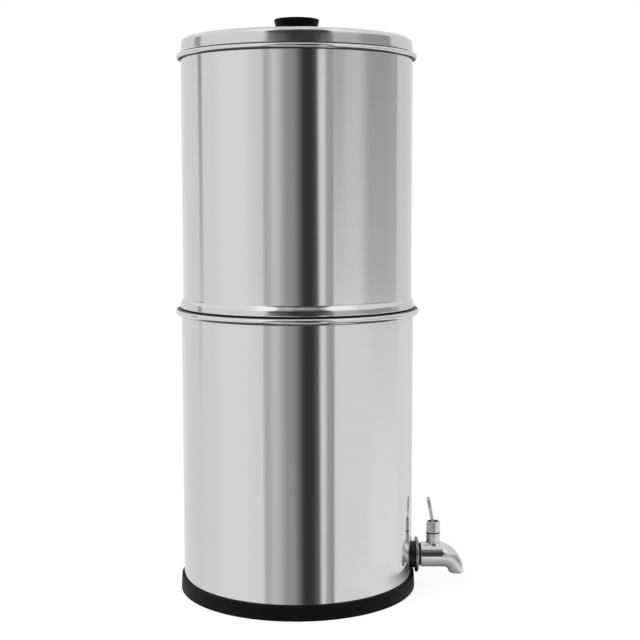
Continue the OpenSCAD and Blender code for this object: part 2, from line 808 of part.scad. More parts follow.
module valve_stem() {
  foot_z = seat_z + seal_t / 3;
  tip = 0.4;
  color("#c6c8ca")
    difference() {
      translate([bonnet_c, 0, 0]) {
        rotate_extrude()
          polygon([[0, foot_z], [rod_r, foot_z], [rod_r, rod_top_z - tip],
                   [rod_r - tip, rod_top_z], [0, rod_top_z]]);
        translate([0, 0, collar_z]) cylinder(r = seal_d / 2, h = collar_t);
      }
      translate([bonnet_c, rod_d, pin_z])
        rotate([90, 0, 0]) cylinder(r = (pin_d + run_gap) / 2, h = 2 * rod_d);
    }
}

module valve_seal() {
  color("#1c1c1d")
    translate([bonnet_c, 0, seat_z])
      difference() {
        cylinder(r = seal_d / 2, h = seal_t);
        translate([0, 0, seal_t / 3]) cylinder(r = rod_r + run_gap, h = seal_t);
      }
}

// Height along the spring after the given number of turns, with one closed turn at each end
function coil_z(turn, low, high) =
  turn < 1 ? low + wire_d * turn
  : turn > spring_turns - 1 ? high - wire_d * (spring_turns - turn)
  : low + wire_d + (high - low - 2 * wire_d) * (turn - 1) / (spring_turns - 2);

module valve_spring() {
  per_turn = 16;
  sides = 8;
  end_gap = 0.05;
  low = collar_z + collar_t + wire_d / 2 + end_gap;
  high = guide_z - wire_d / 2 - end_gap;
  rings = [for (k = [0:per_turn * spring_turns])
    let (a = 360 * k / per_turn, z = coil_z(k / per_turn, low, high))
      [for (i = [0:sides - 1])
        let (b = 360 * i / sides, r = spring_r + wire_d / 2 * cos(b))
          [bonnet_c + r * cos(a), r * sin(a), z + wire_d / 2 * sin(b)]]];
  color("#c6c8ca") skin(rings);
}

// The lever's front outline, from its fork up to the round end of its blade
module lever_outline() {
  fork_w = 2 * (cheek_y + cheek_t);
  foot_h = 1.2;
  slot_h = 2.9;
  shoulder_h = 3.2;
  neck_h = 4.6;
  blade_start = 8;
  end_r = blade_w / 2;
  blade_end = lever_l - end_r;
  edge = [for (i = [0:arc_steps])
    [neck_w / 2 + (end_r - neck_w / 2) * ease(i / arc_steps),
     blade_start + (blade_end - blade_start) * 0.7 * i / arc_steps]];
  right = concat([[fork_w / 2, -foot_h], [fork_w / 2, shoulder_h], [fork_w / 3, neck_h]], edge,
                 [[end_r, blade_end]]);
  left = [for (i = [len(right) - 1:-1:0]) [-right[i].x, right[i].y]];
  difference() {
    union() {
      polygon(concat(right, left));
      translate([0, blade_end]) circle(end_r);
    }
    translate([-cheek_y, -slot_h]) square([2 * cheek_y, 2 * slot_h]);
  }
}

// The lever's side outline: thick at the fork and thin along the blade
module lever_side() {
  foot_h = 1.2;
  fork_top = 5;
  taper_h = 4;
  polygon([[-fork_t / 2, -foot_h], [fork_t / 2, -foot_h], [fork_t / 2, fork_top],
           [blade_t / 2, fork_top + taper_h], [blade_t / 2, lever_l - blade_t / 4],
           [blade_t / 4, lever_l], [-blade_t / 4, lever_l], [-blade_t / 2, lever_l - blade_t / 4],
           [-blade_t / 2, fork_top + taper_h], [-fork_t / 2, fork_top]]);
}

module lever() {
  color("#c2c4c6")
    translate([bonnet_c, 0, pin_z])
      difference() {
        union() {
          rotate([0, -lever_lean, 0])
            intersection() {
              rotate([90, 0, 90]) linear_extrude(2 * fork_t, center = true) lever_outline();
              rotate([90, 0, 0]) linear_extrude(2 * blade_w, center = true) lever_side();
            }
          for (side = [-1, 1])
            translate([0, side * (cheek_y + cheek_t / 2), 0])
              rotate([90, 0, 0])
                linear_extrude(cheek_t, center = true) {
                  circle(fork_r);
                  translate([0, -fork_r]) square([heel_offset, 2 * fork_r]);
                  translate([heel_offset, 0]) circle(heel_r);
                }
        }
        rotate([90, 0, 0]) cylinder(r = pin_d / 2 + run_gap, h = 2 * blade_w, center = true);
      }
}

module lever_pin() {
  color("#b6b8ba")
    translate([bonnet_c, 0, pin_z])
      rotate([90, 0, 0]) cylinder(r = pin_d / 2, h = 2 * (cheek_y + cheek_t), center = true);
}

base_ring();
lower_chamber();
upper_chamber();
lid();
knob();
knob_screw();
knob_washer();
candle_left();
candle_right();
candle_base_left();
candle_base_right();
candle_washers();
candle_wing_nuts();
blanking_plugs();
plug_washers();
plug_wing_nuts();
tap_body();
tap_disc();
tap_outer_washer();
tap_inner_washer();
tap_nut();
tap_o_ring();
bonnet_cap();
bonnet_gasket();
stem_guide();
stem_o_ring();
valve_stem();
valve_seal();
valve_spring();
lever();
lever_pin();
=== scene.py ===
"""Looks of a gravity water filter with a tap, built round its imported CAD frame.

Sizes are written in millimetres and turned to metres where a mesh is made. The Z axis is
the chambers' axis, z = 0 is the surface the filter stands on, and the tap points along +X.
"""
import math

import bmesh
import bpy
from mathutils import Matrix, Vector
from mathutils.bvhtree import BVHTree


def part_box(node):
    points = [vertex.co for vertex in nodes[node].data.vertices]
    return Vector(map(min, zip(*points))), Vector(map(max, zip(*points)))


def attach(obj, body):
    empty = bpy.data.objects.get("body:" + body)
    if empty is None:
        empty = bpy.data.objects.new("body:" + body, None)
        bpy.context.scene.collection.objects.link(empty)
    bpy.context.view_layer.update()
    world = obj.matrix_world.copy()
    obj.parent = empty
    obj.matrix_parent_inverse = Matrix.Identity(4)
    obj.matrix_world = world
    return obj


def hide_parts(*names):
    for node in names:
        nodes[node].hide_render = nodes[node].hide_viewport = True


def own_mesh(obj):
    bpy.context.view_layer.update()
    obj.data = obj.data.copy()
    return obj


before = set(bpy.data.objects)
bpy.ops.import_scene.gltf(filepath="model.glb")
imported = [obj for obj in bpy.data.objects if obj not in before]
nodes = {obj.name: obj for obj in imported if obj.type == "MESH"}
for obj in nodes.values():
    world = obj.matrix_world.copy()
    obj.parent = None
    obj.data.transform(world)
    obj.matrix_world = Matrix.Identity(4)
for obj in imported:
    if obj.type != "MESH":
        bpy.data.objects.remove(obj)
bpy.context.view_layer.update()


# ---------------------------------------------------------------- Base ring
# A black rubber ring pushed up over the bottom edge, with a lip on which the chamber
# stands. It is moulded, with a slight draft and a rounded top edge.

MM = 0.001
TURN_STEPS = 288          # facets of a full turn
ARC_STEP = 9              # degrees of an arc to a facet
BASE_RING = {
    "lip_in": 97.0, "foot": 112.7, "top": 112.2, "wall_in": 110.0, "lip": 3.0,
    "height": 13.9, "edge": 0.8, "foot_edge": 0.4,
}


def linear(hex_colour):
    """An sRGB hex colour as linear RGBA."""
    channels = [int(hex_colour[i:i + 2], 16) / 255 for i in (1, 3, 5)]
    return [c / 12.92 if c <= 0.04045 else ((c + 0.055) / 1.055) ** 2.4 for c in channels] + [1]


def add(tree, kind, settings=(), **inputs):
    """Adds a node with its settings, and sets or links its inputs, named with _ for a space."""
    node = tree.nodes.new(kind)
    for name, value in dict(settings).items():
        setattr(node, name, value)
    for name, value in inputs.items():
        key = int(name[1:]) if name[0] == "i" and name[1:].isdigit() else name.replace("_", " ")
        if isinstance(value, bpy.types.NodeSocket):
            tree.links.new(value, node.inputs[key])
        else:
            node.inputs[key].default_value = value
    return node


def new_material(name):
    """An empty material with its output, as (material, tree, output)."""
    made = bpy.data.materials.new(name)
    made.use_nodes = True
    made.node_tree.nodes.clear()
    return made, made.node_tree, made.node_tree.nodes.new("ShaderNodeOutputMaterial")


def turned(path, steps, closed=True):
    """A section turned once round Z. The path is in millimetres, as (radius, height) points
    and (centre radius, centre height, degrees) arcs, anticlockwise if positive."""
    bm = bmesh.new()
    first = tip = bm.verts.new((path[0][0] * MM, 0, path[0][1] * MM))
    for part in path[1:]:
        if len(part) == 2:
            tip = bmesh.ops.extrude_vert_indiv(bm, verts=[tip])["verts"][0]
            tip.co = (part[0] * MM, 0, part[1] * MM)
        else:
            swung = bmesh.ops.spin(
                bm, geom=[tip], cent=(part[0] * MM, 0, part[1] * MM), axis=(0, -1, 0),
                angle=math.radians(part[2]), steps=max(4, round(abs(part[2]) / ARC_STEP)))
            tip = [v for v in swung["geom_last"] if isinstance(v, bmesh.types.BMVert)][0]
    if closed:
        bm.edges.new((tip, first))
    bmesh.ops.spin(bm, geom=bm.verts[:] + bm.edges[:], cent=(0, 0, 0), axis=(0, 0, 1),
                   angle=math.tau, steps=steps, use_merge=True)
    bmesh.ops.remove_doubles(bm, verts=bm.verts, dist=0.001 * MM)
    bmesh.ops.recalc_face_normals(bm, faces=bm.faces)
    return bm


def finished(name, bm, material, sharp=34):
    """The mesh as an object with its material, smooth but for edges sharper than given."""
    mesh = bpy.data.meshes.new(name)
    bm.to_mesh(mesh)
    bm.free()
    mesh.materials.append(material)
    mesh.shade_smooth()
    mesh.set_sharp_from_angle(angle=math.radians(sharp))
    piece = bpy.data.objects.new(name, mesh)
    bpy.context.scene.collection.objects.link(piece)
    return piece


# Natural rubber, compression moulded: near black and matt, with the fine grain of the mould.
base_rubber, tree, out = new_material("moulded natural rubber")
place = add(tree, "ShaderNodeTexCoord").outputs["Object"]
grain = add(tree, "ShaderNodeTexNoise", Vector=place, Scale=900.0, Detail=3.0).outputs["Fac"]
bloom = add(tree, "ShaderNodeTexNoise", Vector=place, Scale=40.0, Detail=4.0).outputs["Fac"]
colour = add(tree, "ShaderNodeMix", {"data_type": "RGBA"}, Factor=bloom,
             i6=linear("#0A0A0B"), i7=linear("#101011")).outputs[2]
rough = add(tree, "ShaderNodeMapRange", Value=bloom, To_Min=0.5, To_Max=0.62).outputs[0]
bump = add(tree, "ShaderNodeBump", Strength=0.25, Distance=0.05 * MM, Height=grain).outputs[0]
shader = add(tree, "ShaderNodeBsdfPrincipled", Base_Color=colour, Roughness=rough, Normal=bump,
             IOR=1.52, Specular_IOR_Level=0.1)
tree.links.new(shader.outputs[0], out.inputs[0])

r = BASE_RING
base_ring = finished("rubber_base_ring", turned(
    [(r["lip_in"], 0), (r["foot"] - r["foot_edge"], 0), (r["foot"], r["foot_edge"]),
     (r["top"], r["height"] - r["edge"]), (r["top"] - r["edge"], r["height"] - r["edge"], 90),
     (r["wall_in"], r["height"]), (r["wall_in"], r["lip"]), (r["lip_in"], r["lip"])],
    TURN_STEPS), base_rubber)
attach(base_ring, "lower")
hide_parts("base_ring")


# ---------------------------------------------------------------- Lower chamber
# A pot deep drawn from 0.8 mm stainless sheet and polished bright. Its rim is curled
# outwards into a hollow bead, and the wall has one hole for the tap's shank.

SHEET = 0.8
EASE = 0.6                # a short straight beside each bend, which keeps the shading crisp
UNDER_BEAD = 1.0          # the straight wall ends this far below its bead's middle
LOWER = {"wall": 109.8, "under": 3.0, "bend": 6.0, "bead_z": 267.1, "bead_r": 3.1, "slit": 14.0}
TAP_Z = 28.0
TAP_HOLE = 8.2
HOLE_PATCH = 9.6          # half the side of the square of wall round the hole


def rim_curl(wall_in, bead_z, bead_r, slit):
    """The hollow curl of a rim, from the wall's outer side over the top and back inside."""
    centre = wall_in + bead_r
    gap = math.degrees(math.acos((bead_r - SHEET) / bead_r)) + slit
    turn = 360 - gap
    lip = math.radians(180 + gap)
    return [
        (wall_in + SHEET, bead_z), (centre, bead_z, -turn),
        (centre + bead_r * math.cos(lip), bead_z + bead_r * math.sin(lip)),
        (centre, bead_z, turn),
    ]


# Type 304 stainless steel, belt ground and buffed bright: a clear mirror with a faint haze and
# the lightest circular marks of the buffing wheel, drawn 2 mm apart so that they show at all.
chamber_steel, tree, out = new_material("buffed 304 stainless steel")
where = add(tree, "ShaderNodeTexCoord")
place = where.outputs["Object"]
stretched = add(tree, "ShaderNodeMapping", Vector=place, Scale=(6.0, 6.0, 480.0)).outputs[0]
marks = add(tree, "ShaderNodeTexNoise", Vector=stretched, Scale=1.0, Detail=4.0).outputs["Fac"]
haze = add(tree, "ShaderNodeTexNoise", Vector=place, Scale=14.0, Detail=3.0).outputs["Fac"]
rough = add(tree, "ShaderNodeMapRange", Value=haze, From_Min=0.3, From_Max=0.7,
            To_Min=0.055, To_Max=0.085).outputs[0]
tone = add(tree, "ShaderNodeMix", {"data_type": "RGBA"}, Factor=marks,
           i6=linear("#D1D2D3"), i7=linear("#D4D5D6")).outputs[2]
bump = add(tree, "ShaderNodeBump", Strength=0.01, Distance=0.01 * MM, Height=marks).outputs[0]
# Painted shade: the creases above and below the two rim beads are painted dark and made dull,
# standing in for the shade that gathers in them.
CREASES = [(263.5, 264.5), (269.5, 270.6), (500.4, 501.1), (504.9, 506.4)]
CREASE_BLUR = 0.2
height = add(tree, "ShaderNodeSeparateXYZ", Vector=place).outputs["Z"]
painted_crease_shade = 0.0
for low, high in CREASES:
    entering, leaving = [
        add(tree, "ShaderNodeMapRange", {"interpolation_type": "SMOOTHSTEP"}, Value=height,
            From_Min=(z - CREASE_BLUR) * MM, From_Max=(z + CREASE_BLUR) * MM).outputs[0]
        for z in (low, high)]
    within = add(tree, "ShaderNodeMath", {"operation": "SUBTRACT"}, i0=entering, i1=leaving)
    painted_crease_shade = add(tree, "ShaderNodeMath", {"operation": "ADD"}, i0=painted_crease_shade,
               i1=within.outputs[0]).outputs[0]
# The painted crease shade darkens the colour here.
tone = add(tree, "ShaderNodeMix", {"data_type": "RGBA"}, Factor=painted_crease_shade, i6=tone,
           i7=linear("#2C2C2E")).outputs[2]
rough = add(tree, "ShaderNodeMix", Factor=painted_crease_shade, i2=rough, i3=0.4).outputs[0]
# The inner side of the walls isn't buffed: it keeps the sheet's dull, light grey mill skin.
from_axis = add(tree, "ShaderNodeVectorMath", {"operation": "MULTIPLY"}, i0=place,
                i1=(1, 1, 0)).outputs[0]
facing_out = add(tree, "ShaderNodeVectorMath", {"operation": "DOT_PRODUCT"}, i0=from_axis,
                 i1=where.outputs["Normal"]).outputs["Value"]
inner = add(tree, "ShaderNodeMapRange", Value=facing_out, From_Min=-0.02,
            From_Max=-0.06).outputs[0]
rough = add(tree, "ShaderNodeMix", i0=inner, i2=rough, i3=0.45).outputs[0]
metal = add(tree, "ShaderNodeMapRange", Value=inner, To_Min=1.0, To_Max=0.45).outputs[0]
shader = add(tree, "ShaderNodeBsdfPrincipled", Base_Color=tone, Metallic=metal, Roughness=rough,
             Normal=bump)
tree.links.new(shader.outputs[0], out.inputs[0])


def open_wall_hole(bm, wall_out, wall_in, hole_r, hole_z, half):
    """Opens a round hole along +X through a wall, in the grid of faces around it."""
    def near(face):
        c = face.calc_center_median()
        return (c.x > 0 and abs(c.y) < half * MM and abs(c.z - hole_z * MM) < half * MM
                and abs(math.hypot(c.x, c.y) - (wall_out + wall_in) / 2 * MM) < 2 * MM)

    bmesh.ops.delete(bm, geom=[f for f in bm.faces if near(f)], context="FACES")
    rims = [e for e in bm.edges if e.is_boundary]
    middle = (wall_out + wall_in) / 2 * MM
    outer = [e for e in rims if math.hypot(e.verts[0].co.x, e.verts[0].co.y) > middle]
    inner = [e for e in rims if e not in outer]
    rings = []
    for radius in (wall_out, wall_in):
        circle = bmesh.ops.create_circle(
            bm, segments=len(outer), radius=hole_r * MM,
            matrix=Matrix.Translation((0, 0, hole_z * MM)) @ Matrix.Rotation(math.pi / 2, 4, "Y")
        )["verts"]
        for v in circle:
            v.co.x = math.sqrt((radius * MM) ** 2 - v.co.y ** 2)
        rings.append(list({e for v in circle for e in v.link_edges}))
    for pair in (outer + rings[0], rings[0] + rings[1], rings[1] + inner):
        bmesh.ops.bridge_loops(bm, edges=pair)
    bmesh.ops.recalc_face_normals(bm, faces=bm.faces)


c = LOWER
wall, inside = c["wall"], c["wall"] - SHEET
bend_c = (wall - c["bend"], c["under"] + c["bend"])
hole_rows = [TAP_Z + HOLE_PATCH * k / 4 for k in range(-4, 5)]
path = [(0, c["under"]), (bend_c[0], c["under"]), (*bend_c, 90), (wall, bend_c[1] + EASE)]
path += [(wall, z) for z in hole_rows] + [(wall, c["bead_z"] - UNDER_BEAD)]
path += rim_curl(inside, c["bead_z"], c["bead_r"], c["slit"])
path += [(inside, c["bead_z"] - UNDER_BEAD)] + [(inside, z) for z in reversed(hole_rows)]
path += [(inside, bend_c[1] + EASE), (inside, bend_c[1]), (*bend_c, -90),
         (0, c["under"] + SHEET)]
bm = turned(path, TURN_STEPS, closed=False)
open_wall_hole(bm, wall, inside, TAP_HOLE, TAP_Z, HOLE_PATCH)
lower_chamber = finished("lower_chamber_shell", bm, chamber_steel)
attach(lower_chamber, "lower")
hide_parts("lower_chamber")


# ---------------------------------------------------------------- Upper chamber
# A second drawn pot. Its wall flares at the foot into a band with a folded edge, which
# rests on the lower bead, and a skirt below the fold nests inside the lower chamber.

UPPER = {
    "wall": 108.0, "seat": 269.62, "bead_z": 503.145, "bead_r": 2.475, "slit": 14.0,
    "band": 110.8, "band_height": 11.3, "band_lean": 9.5, "sweep": 5.2, "fold": 2.35,
    "skirt": 108.4, "under": 247.62, "bend": 6.0,
    "hole_circle": 50.0, "hole": 6.3,
}


def flare(wall, band, top, height, sweep, lean, parts=16):
    """Points up a foot band: it leans in from its fold, then sweeps into the straight wall."""
    slope = math.tan(math.radians(lean))
    waist = band - slope * (height - sweep)
    step = 0.3
    points = [(band, top - height), (band - slope * step, top - height + step)]
    for k in range(parts, -1, -1):
        u = k / parts
        swept = (waist - wall) * u * u * (3 - 2 * u) - slope * sweep * u * u * (1 - u)
        points.append((wall + swept, top - sweep * u))
    return points


def fill_floor(bm, z, edge_r, centres, hole_r):
    """Fills a flat floor between its round edge and its holes, and returns the holes' edges."""
    level = [e for e in bm.edges if e.is_boundary and abs(e.verts[0].co.z - z * MM) < 0.01 * MM
             and abs(e.verts[0].co.xy.length - edge_r * MM) < 0.1 * MM]
    holes = []
    for x, y in centres:
        verts = bmesh.ops.create_circle(
            bm, segments=64, radius=hole_r * MM,
            matrix=Matrix.Translation((x * MM, y * MM, z * MM)))["verts"]
        holes.append(list({e for v in verts for e in v.link_edges}))
    bmesh.ops.triangle_fill(bm, use_beauty=True, edges=level + [e for h in holes for e in h])
    return holes


c = UPPER
wall, inside = c["wall"], c["wall"] - SHEET
skirt_in = c["skirt"] - SHEET
fold_c = (c["band"] - c["fold"], c["seat"] + c["fold"])
flare_top = c["seat"] + c["band_height"]
outer_band = flare(wall, c["band"], flare_top, c["band_height"] - c["fold"], c["sweep"],
                   c["band_lean"])
bend_c = (c["skirt"] - c["bend"], c["under"] + c["bend"])
path = [(bend_c[0], c["under"]), (*bend_c, 90), (c["skirt"], bend_c[1] + EASE),
        (c["skirt"], c["seat"] - EASE), (c["skirt"], c["seat"]), (fold_c[0], c["seat"]),
        (*fold_c, 90)]
path += outer_band[1:] + [(wall, flare_top + EASE), (wall, c["bead_z"] - UNDER_BEAD)]
path += rim_curl(inside, c["bead_z"], c["bead_r"], c["slit"])
path += [(inside, c["bead_z"] - UNDER_BEAD), (inside, flare_top + EASE)]
path += [(x - SHEET, z) for x, z in reversed(outer_band)]
path += [(*fold_c, -90), (skirt_in, c["seat"] + SHEET), (skirt_in, bend_c[1]), (*bend_c, -90)]
bm = turned(path, TURN_STEPS, closed=False)
centres = [(c["hole_circle"] * x, c["hole_circle"] * y)
           for x, y in ((1, 0), (0, 1), (-1, 0), (0, -1))]
under_holes = fill_floor(bm, c["under"], bend_c[0], centres, c["hole"])
top_holes = fill_floor(bm, c["under"] + SHEET, bend_c[0], centres, c["hole"])
for low, high in zip(under_holes, top_holes):
    bmesh.ops.bridge_loops(bm, edges=low + high)
bmesh.ops.recalc_face_normals(bm, faces=bm.faces)
upper_chamber = finished("upper_chamber_shell", bm, chamber_steel)
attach(upper_chamber, "upper")
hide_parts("upper_chamber")


# ---------------------------------------------------------------- Filter elements
# Two slip-cast, fired ceramic candles with domed tops, each cemented into a moulded
# polypropylene cap whose threaded stem goes through the floor.

# Diatomite ceramic, fired and unglazed: off-white, chalky and finely speckled, with the
# faint rings of the sponge that finished it on the wheel.
ceramic, tree, out = new_material("fired diatomite ceramic")
place = add(tree, "ShaderNodeTexCoord").outputs["Object"]
speck = add(tree, "ShaderNodeTexNoise", Vector=place, Scale=700.0, Detail=2.0).outputs["Fac"]
stretched = add(tree, "ShaderNodeMapping", Vector=place, Scale=(20.0, 20.0, 260.0)).outputs[0]
rings = add(tree, "ShaderNodeTexNoise", Vector=stretched, Scale=1.0, Detail=3.0).outputs["Fac"]
height = add(tree, "ShaderNodeMath", {"operation": "MULTIPLY_ADD"}, i0=rings, i1=0.8,
             i2=speck).outputs[0]
spots = add(tree, "ShaderNodeMapRange", Value=speck, From_Min=0.62, From_Max=0.75).outputs[0]
base = add(tree, "ShaderNodeMix", {"data_type": "RGBA"}, Factor=rings,
           i6=linear("#EBE6DA"), i7=linear("#F1EDE3")).outputs[2]
colour = add(tree, "ShaderNodeMix", {"data_type": "RGBA"}, Factor=spots, i6=base,
             i7=linear("#CFC8B8")).outputs[2]
bump = add(tree, "ShaderNodeBump", Strength=0.35, Distance=0.15 * MM, Height=height).outputs[0]
shader = add(tree, "ShaderNodeBsdfPrincipled", Base_Color=colour, Roughness=0.85, Normal=bump,
             IOR=1.5, Specular_IOR_Level=0.3)
tree.links.new(shader.outputs[0], out.inputs[0])

# Polypropylene, injection moulded: milky white with a soft sheen.
polypropylene, tree, out = new_material("moulded white polypropylene")
place = add(tree, "ShaderNodeTexCoord").outputs["Object"]
cloud = add(tree, "ShaderNodeTexNoise", Vector=place, Scale=120.0, Detail=3.0).outputs["Fac"]
colour = add(tree, "ShaderNodeMix", {"data_type": "RGBA"}, Factor=cloud,
             i6=linear("#E9E9E5"), i7=linear("#F0F0ED")).outputs[2]
rough = add(tree, "ShaderNodeMapRange", Value=cloud, To_Min=0.38, To_Max=0.5).outputs[0]
bump = add(tree, "ShaderNodeBump", Strength=0.1, Distance=0.03 * MM, Height=cloud).outputs[0]
shader = add(tree, "ShaderNodeBsdfPrincipled", Base_Color=colour, Roughness=rough, Normal=bump,
             IOR=1.49)
tree.links.new(shader.outputs[0], out.inputs[0])


def finish_nodes(material, *names):
    """Gives CAD nodes whose shape stays their material."""
    for name in names:
        for spot in nodes[name].material_slots:
            spot.material = material


finish_nodes(ceramic, "candle_left", "candle_right")
finish_nodes(polypropylene, "candle_base_left", "candle_base_right", "candle_wing_nuts",
             "blanking_plugs", "plug_wing_nuts")


# ---------------------------------------------------------------- Washers and seals
# Flat washers, O-rings and the valve's seal, cut or moulded from nitrile rubber.

# Nitrile rubber, moulded smooth: black, with a little more sheen than the base ring.
nitrile, tree, out = new_material("moulded nitrile rubber")
place = add(tree, "ShaderNodeTexCoord").outputs["Object"]
grain = add(tree, "ShaderNodeTexNoise", Vector=place, Scale=1500.0, Detail=2.0).outputs["Fac"]
colour = add(tree, "ShaderNodeMix", {"data_type": "RGBA"}, Factor=grain,
             i6=linear("#0C0C0D"), i7=linear("#131314")).outputs[2]
rough = add(tree, "ShaderNodeMapRange", Value=grain, To_Min=0.42, To_Max=0.55).outputs[0]
bump = add(tree, "ShaderNodeBump", Strength=0.12, Distance=0.02 * MM, Height=grain).outputs[0]
shader = add(tree, "ShaderNodeBsdfPrincipled", Base_Color=colour, Roughness=rough, Normal=bump,
             IOR=1.52, Specular_IOR_Level=0.4)
tree.links.new(shader.outputs[0], out.inputs[0])

finish_nodes(nitrile, "candle_washers", "plug_washers", "tap_outer_washer", "tap_inner_washer",
             "tap_o_ring", "bonnet_gasket", "stem_o_ring", "valve_seal")


# ---------------------------------------------------------------- Lid
# A shallow lid drawn from the same bright sheet. Its edge is folded under and runs on
# inwards and down as a step that nests in the upper rim.

LID = {
    "edge": 108.2, "seat": 504.945, "height": 14.4, "shoulder": 4.5, "fold": 1.1, "draft": 3.0,
    "crown": 1.2, "land": 18.0, "hole": 2.8, "nest": 106.6, "nest_height": 10.0,
}


def crown(r0, r1, z, rise, parts=12):
    """Points of a shallow dome from radius r0 out to radius r1, where it has come down to z."""
    return [(r0 + (r1 - r0) * k / parts, z + rise * (1 - (k / parts) ** 2))
            for k in range(parts + 1)]


c = LID
top = c["seat"] + c["height"]
fold_c = (c["edge"] - c["fold"], c["seat"] + c["fold"])
lean_x, lean_z = math.cos(math.radians(c["draft"])), math.sin(math.radians(c["draft"]))
inset = c["shoulder"] - c["fold"]
side_l = (top - c["shoulder"] - fold_c[1] + inset * lean_z) / lean_x
shoulder_c = (fold_c[0] - inset * lean_x - side_l * lean_z, top - c["shoulder"])
upper_side = crown(c["land"], shoulder_c[0], top, c["crown"])
path = [(c["hole"], top + c["crown"])] + upper_side
path += [(*shoulder_c, c["draft"] - 90),
         (fold_c[0] + c["fold"] * lean_x, fold_c[1] + c["fold"] * lean_z),
         (*fold_c, -90 - c["draft"]), (c["nest"], c["seat"]),
         (c["nest"], c["seat"] - c["nest_height"]),
         (c["nest"] - SHEET, c["seat"] - c["nest_height"]), (c["nest"] - SHEET, c["seat"] + SHEET),
         (fold_c[0], c["seat"] + SHEET), (*fold_c, 90 + c["draft"]),
         (shoulder_c[0] + (c["shoulder"] - SHEET) * lean_x,
          shoulder_c[1] + (c["shoulder"] - SHEET) * lean_z),
         (*shoulder_c, 90 - c["draft"])]
path += [(x, z - SHEET) for x, z in reversed(upper_side[:-1])]
path += [(c["hole"], top + c["crown"] - SHEET)]
lid = finished("lid_shell", turned(path, TURN_STEPS), chamber_steel)
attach(lid, "lid")
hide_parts("lid")


# ---------------------------------------------------------------- Lid knob
# A truncated cone moulded in black phenolic, wide side up, with a blind bore for the
# screw that comes up through the lid.

KNOB = {
    "z": 520.545, "height": 18.4, "base": 17.0, "top": 21.0, "edge": 0.9, "foot_edge": 0.3,
    "crown": 0.5, "bore": 2.55, "bore_depth": 12.0,
}

# Phenolic, compression moulded: deep black with a low, even gloss.
phenolic, tree, out = new_material("moulded black phenolic")
place = add(tree, "ShaderNodeTexCoord").outputs["Object"]
flow = add(tree, "ShaderNodeTexNoise", Vector=place, Scale=260.0, Detail=4.0).outputs["Fac"]
colour = add(tree, "ShaderNodeMix", {"data_type": "RGBA"}, Factor=flow,
             i6=linear("#070708"), i7=linear("#0B0B0B")).outputs[2]
rough = add(tree, "ShaderNodeMapRange", Value=flow, To_Min=0.45, To_Max=0.55).outputs[0]
bump = add(tree, "ShaderNodeBump", Strength=0.08, Distance=0.02 * MM, Height=flow).outputs[0]
shader = add(tree, "ShaderNodeBsdfPrincipled", Base_Color=colour, Roughness=rough, Normal=bump,
             IOR=1.5, Specular_IOR_Level=0.06)
tree.links.new(shader.outputs[0], out.inputs[0])

c = KNOB
edge_c = (c["top"] - c["edge"], c["z"] + c["height"] - c["crown"] - c["edge"])
lean = math.degrees(math.atan2(c["top"] - c["base"], edge_c[1] - c["z"]))
side_end = (edge_c[0] + c["edge"] * math.cos(math.radians(-lean)),
            edge_c[1] + c["edge"] * math.sin(math.radians(-lean)))
dome = crown(0, edge_c[0], c["z"] + c["height"] - c["crown"], c["crown"])
path = [(0, c["z"] + c["bore_depth"]), (c["bore"], c["z"] + c["bore_depth"]), (c["bore"], c["z"]),
        (c["base"] - c["foot_edge"], c["z"]), (c["base"], c["z"] + c["foot_edge"]), side_end,
        (*edge_c, 90 + lean)]
path += list(reversed(dome[:-1]))
knob = finished("lid_knob", turned(path, steps=192, closed=False), phenolic)
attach(knob, "lid")
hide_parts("knob")


# ---------------------------------------------------------------- Screws and springs
# The knob's screw and washer, the lever's pin, the valve's rod, its brass guide and its
# coiled spring: turned, pressed or drawn, with the plain finish of small fasteners.

# Stainless wire and bar, drawn and turned: duller than the chambers, with fine tool marks.
fastener_steel, tree, out = new_material("plain turned stainless steel")
place = add(tree, "ShaderNodeTexCoord").outputs["Object"]
marks = add(tree, "ShaderNodeTexNoise", Vector=place, Scale=1200.0, Detail=3.0).outputs["Fac"]
colour = add(tree, "ShaderNodeMix", {"data_type": "RGBA"}, Factor=marks,
             i6=linear("#B4B6B8"), i7=linear("#C0C1C3")).outputs[2]
rough = add(tree, "ShaderNodeMapRange", Value=marks, To_Min=0.24, To_Max=0.36).outputs[0]
shader = add(tree, "ShaderNodeBsdfPrincipled", Base_Color=colour, Metallic=1.0, Roughness=rough)
tree.links.new(shader.outputs[0], out.inputs[0])

# Free-cutting brass, turned: warm yellow with fine rings from the tool.
brass, tree, out = new_material("turned brass")
place = add(tree, "ShaderNodeTexCoord").outputs["Object"]
stretched = add(tree, "ShaderNodeMapping", Vector=place, Scale=(200.0, 200.0, 3000.0)).outputs[0]
rings = add(tree, "ShaderNodeTexNoise", Vector=stretched, Scale=1.0, Detail=2.0).outputs["Fac"]
colour = add(tree, "ShaderNodeMix", {"data_type": "RGBA"}, Factor=rings,
             i6=linear("#C09A55"), i7=linear("#CFAB66")).outputs[2]
rough = add(tree, "ShaderNodeMapRange", Value=rings, To_Min=0.2, To_Max=0.32).outputs[0]
shader = add(tree, "ShaderNodeBsdfPrincipled", Base_Color=colour, Metallic=1.0, Roughness=rough)
tree.links.new(shader.outputs[0], out.inputs[0])

finish_nodes(fastener_steel, "knob_screw", "knob_washer", "valve_stem", "lever_pin")
finish_nodes(brass, "stem_guide")

# The spring hangs from the stem guide; the stem's collar presses it shorter as it rises, but this
# mesh keeps one length.
WELD = 0.002              # vertices of a solid's mesh nearer than this are one
bm = bmesh.new()
bm.from_mesh(nodes["valve_spring"].data)
bmesh.ops.remove_doubles(bm, verts=bm.verts, dist=WELD * MM)
spring = finished("valve_coil_spring", bm, fastener_steel)
low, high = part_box("valve_spring")
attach(spring, "lower")
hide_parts("valve_spring")
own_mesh(spring)


# ---------------------------------------------------------------- Tap body
# One investment casting in stainless steel, polished all over: the threaded shank, the
# tube, the spout bent down to its mouth and the upright bonnet with its soft foot.

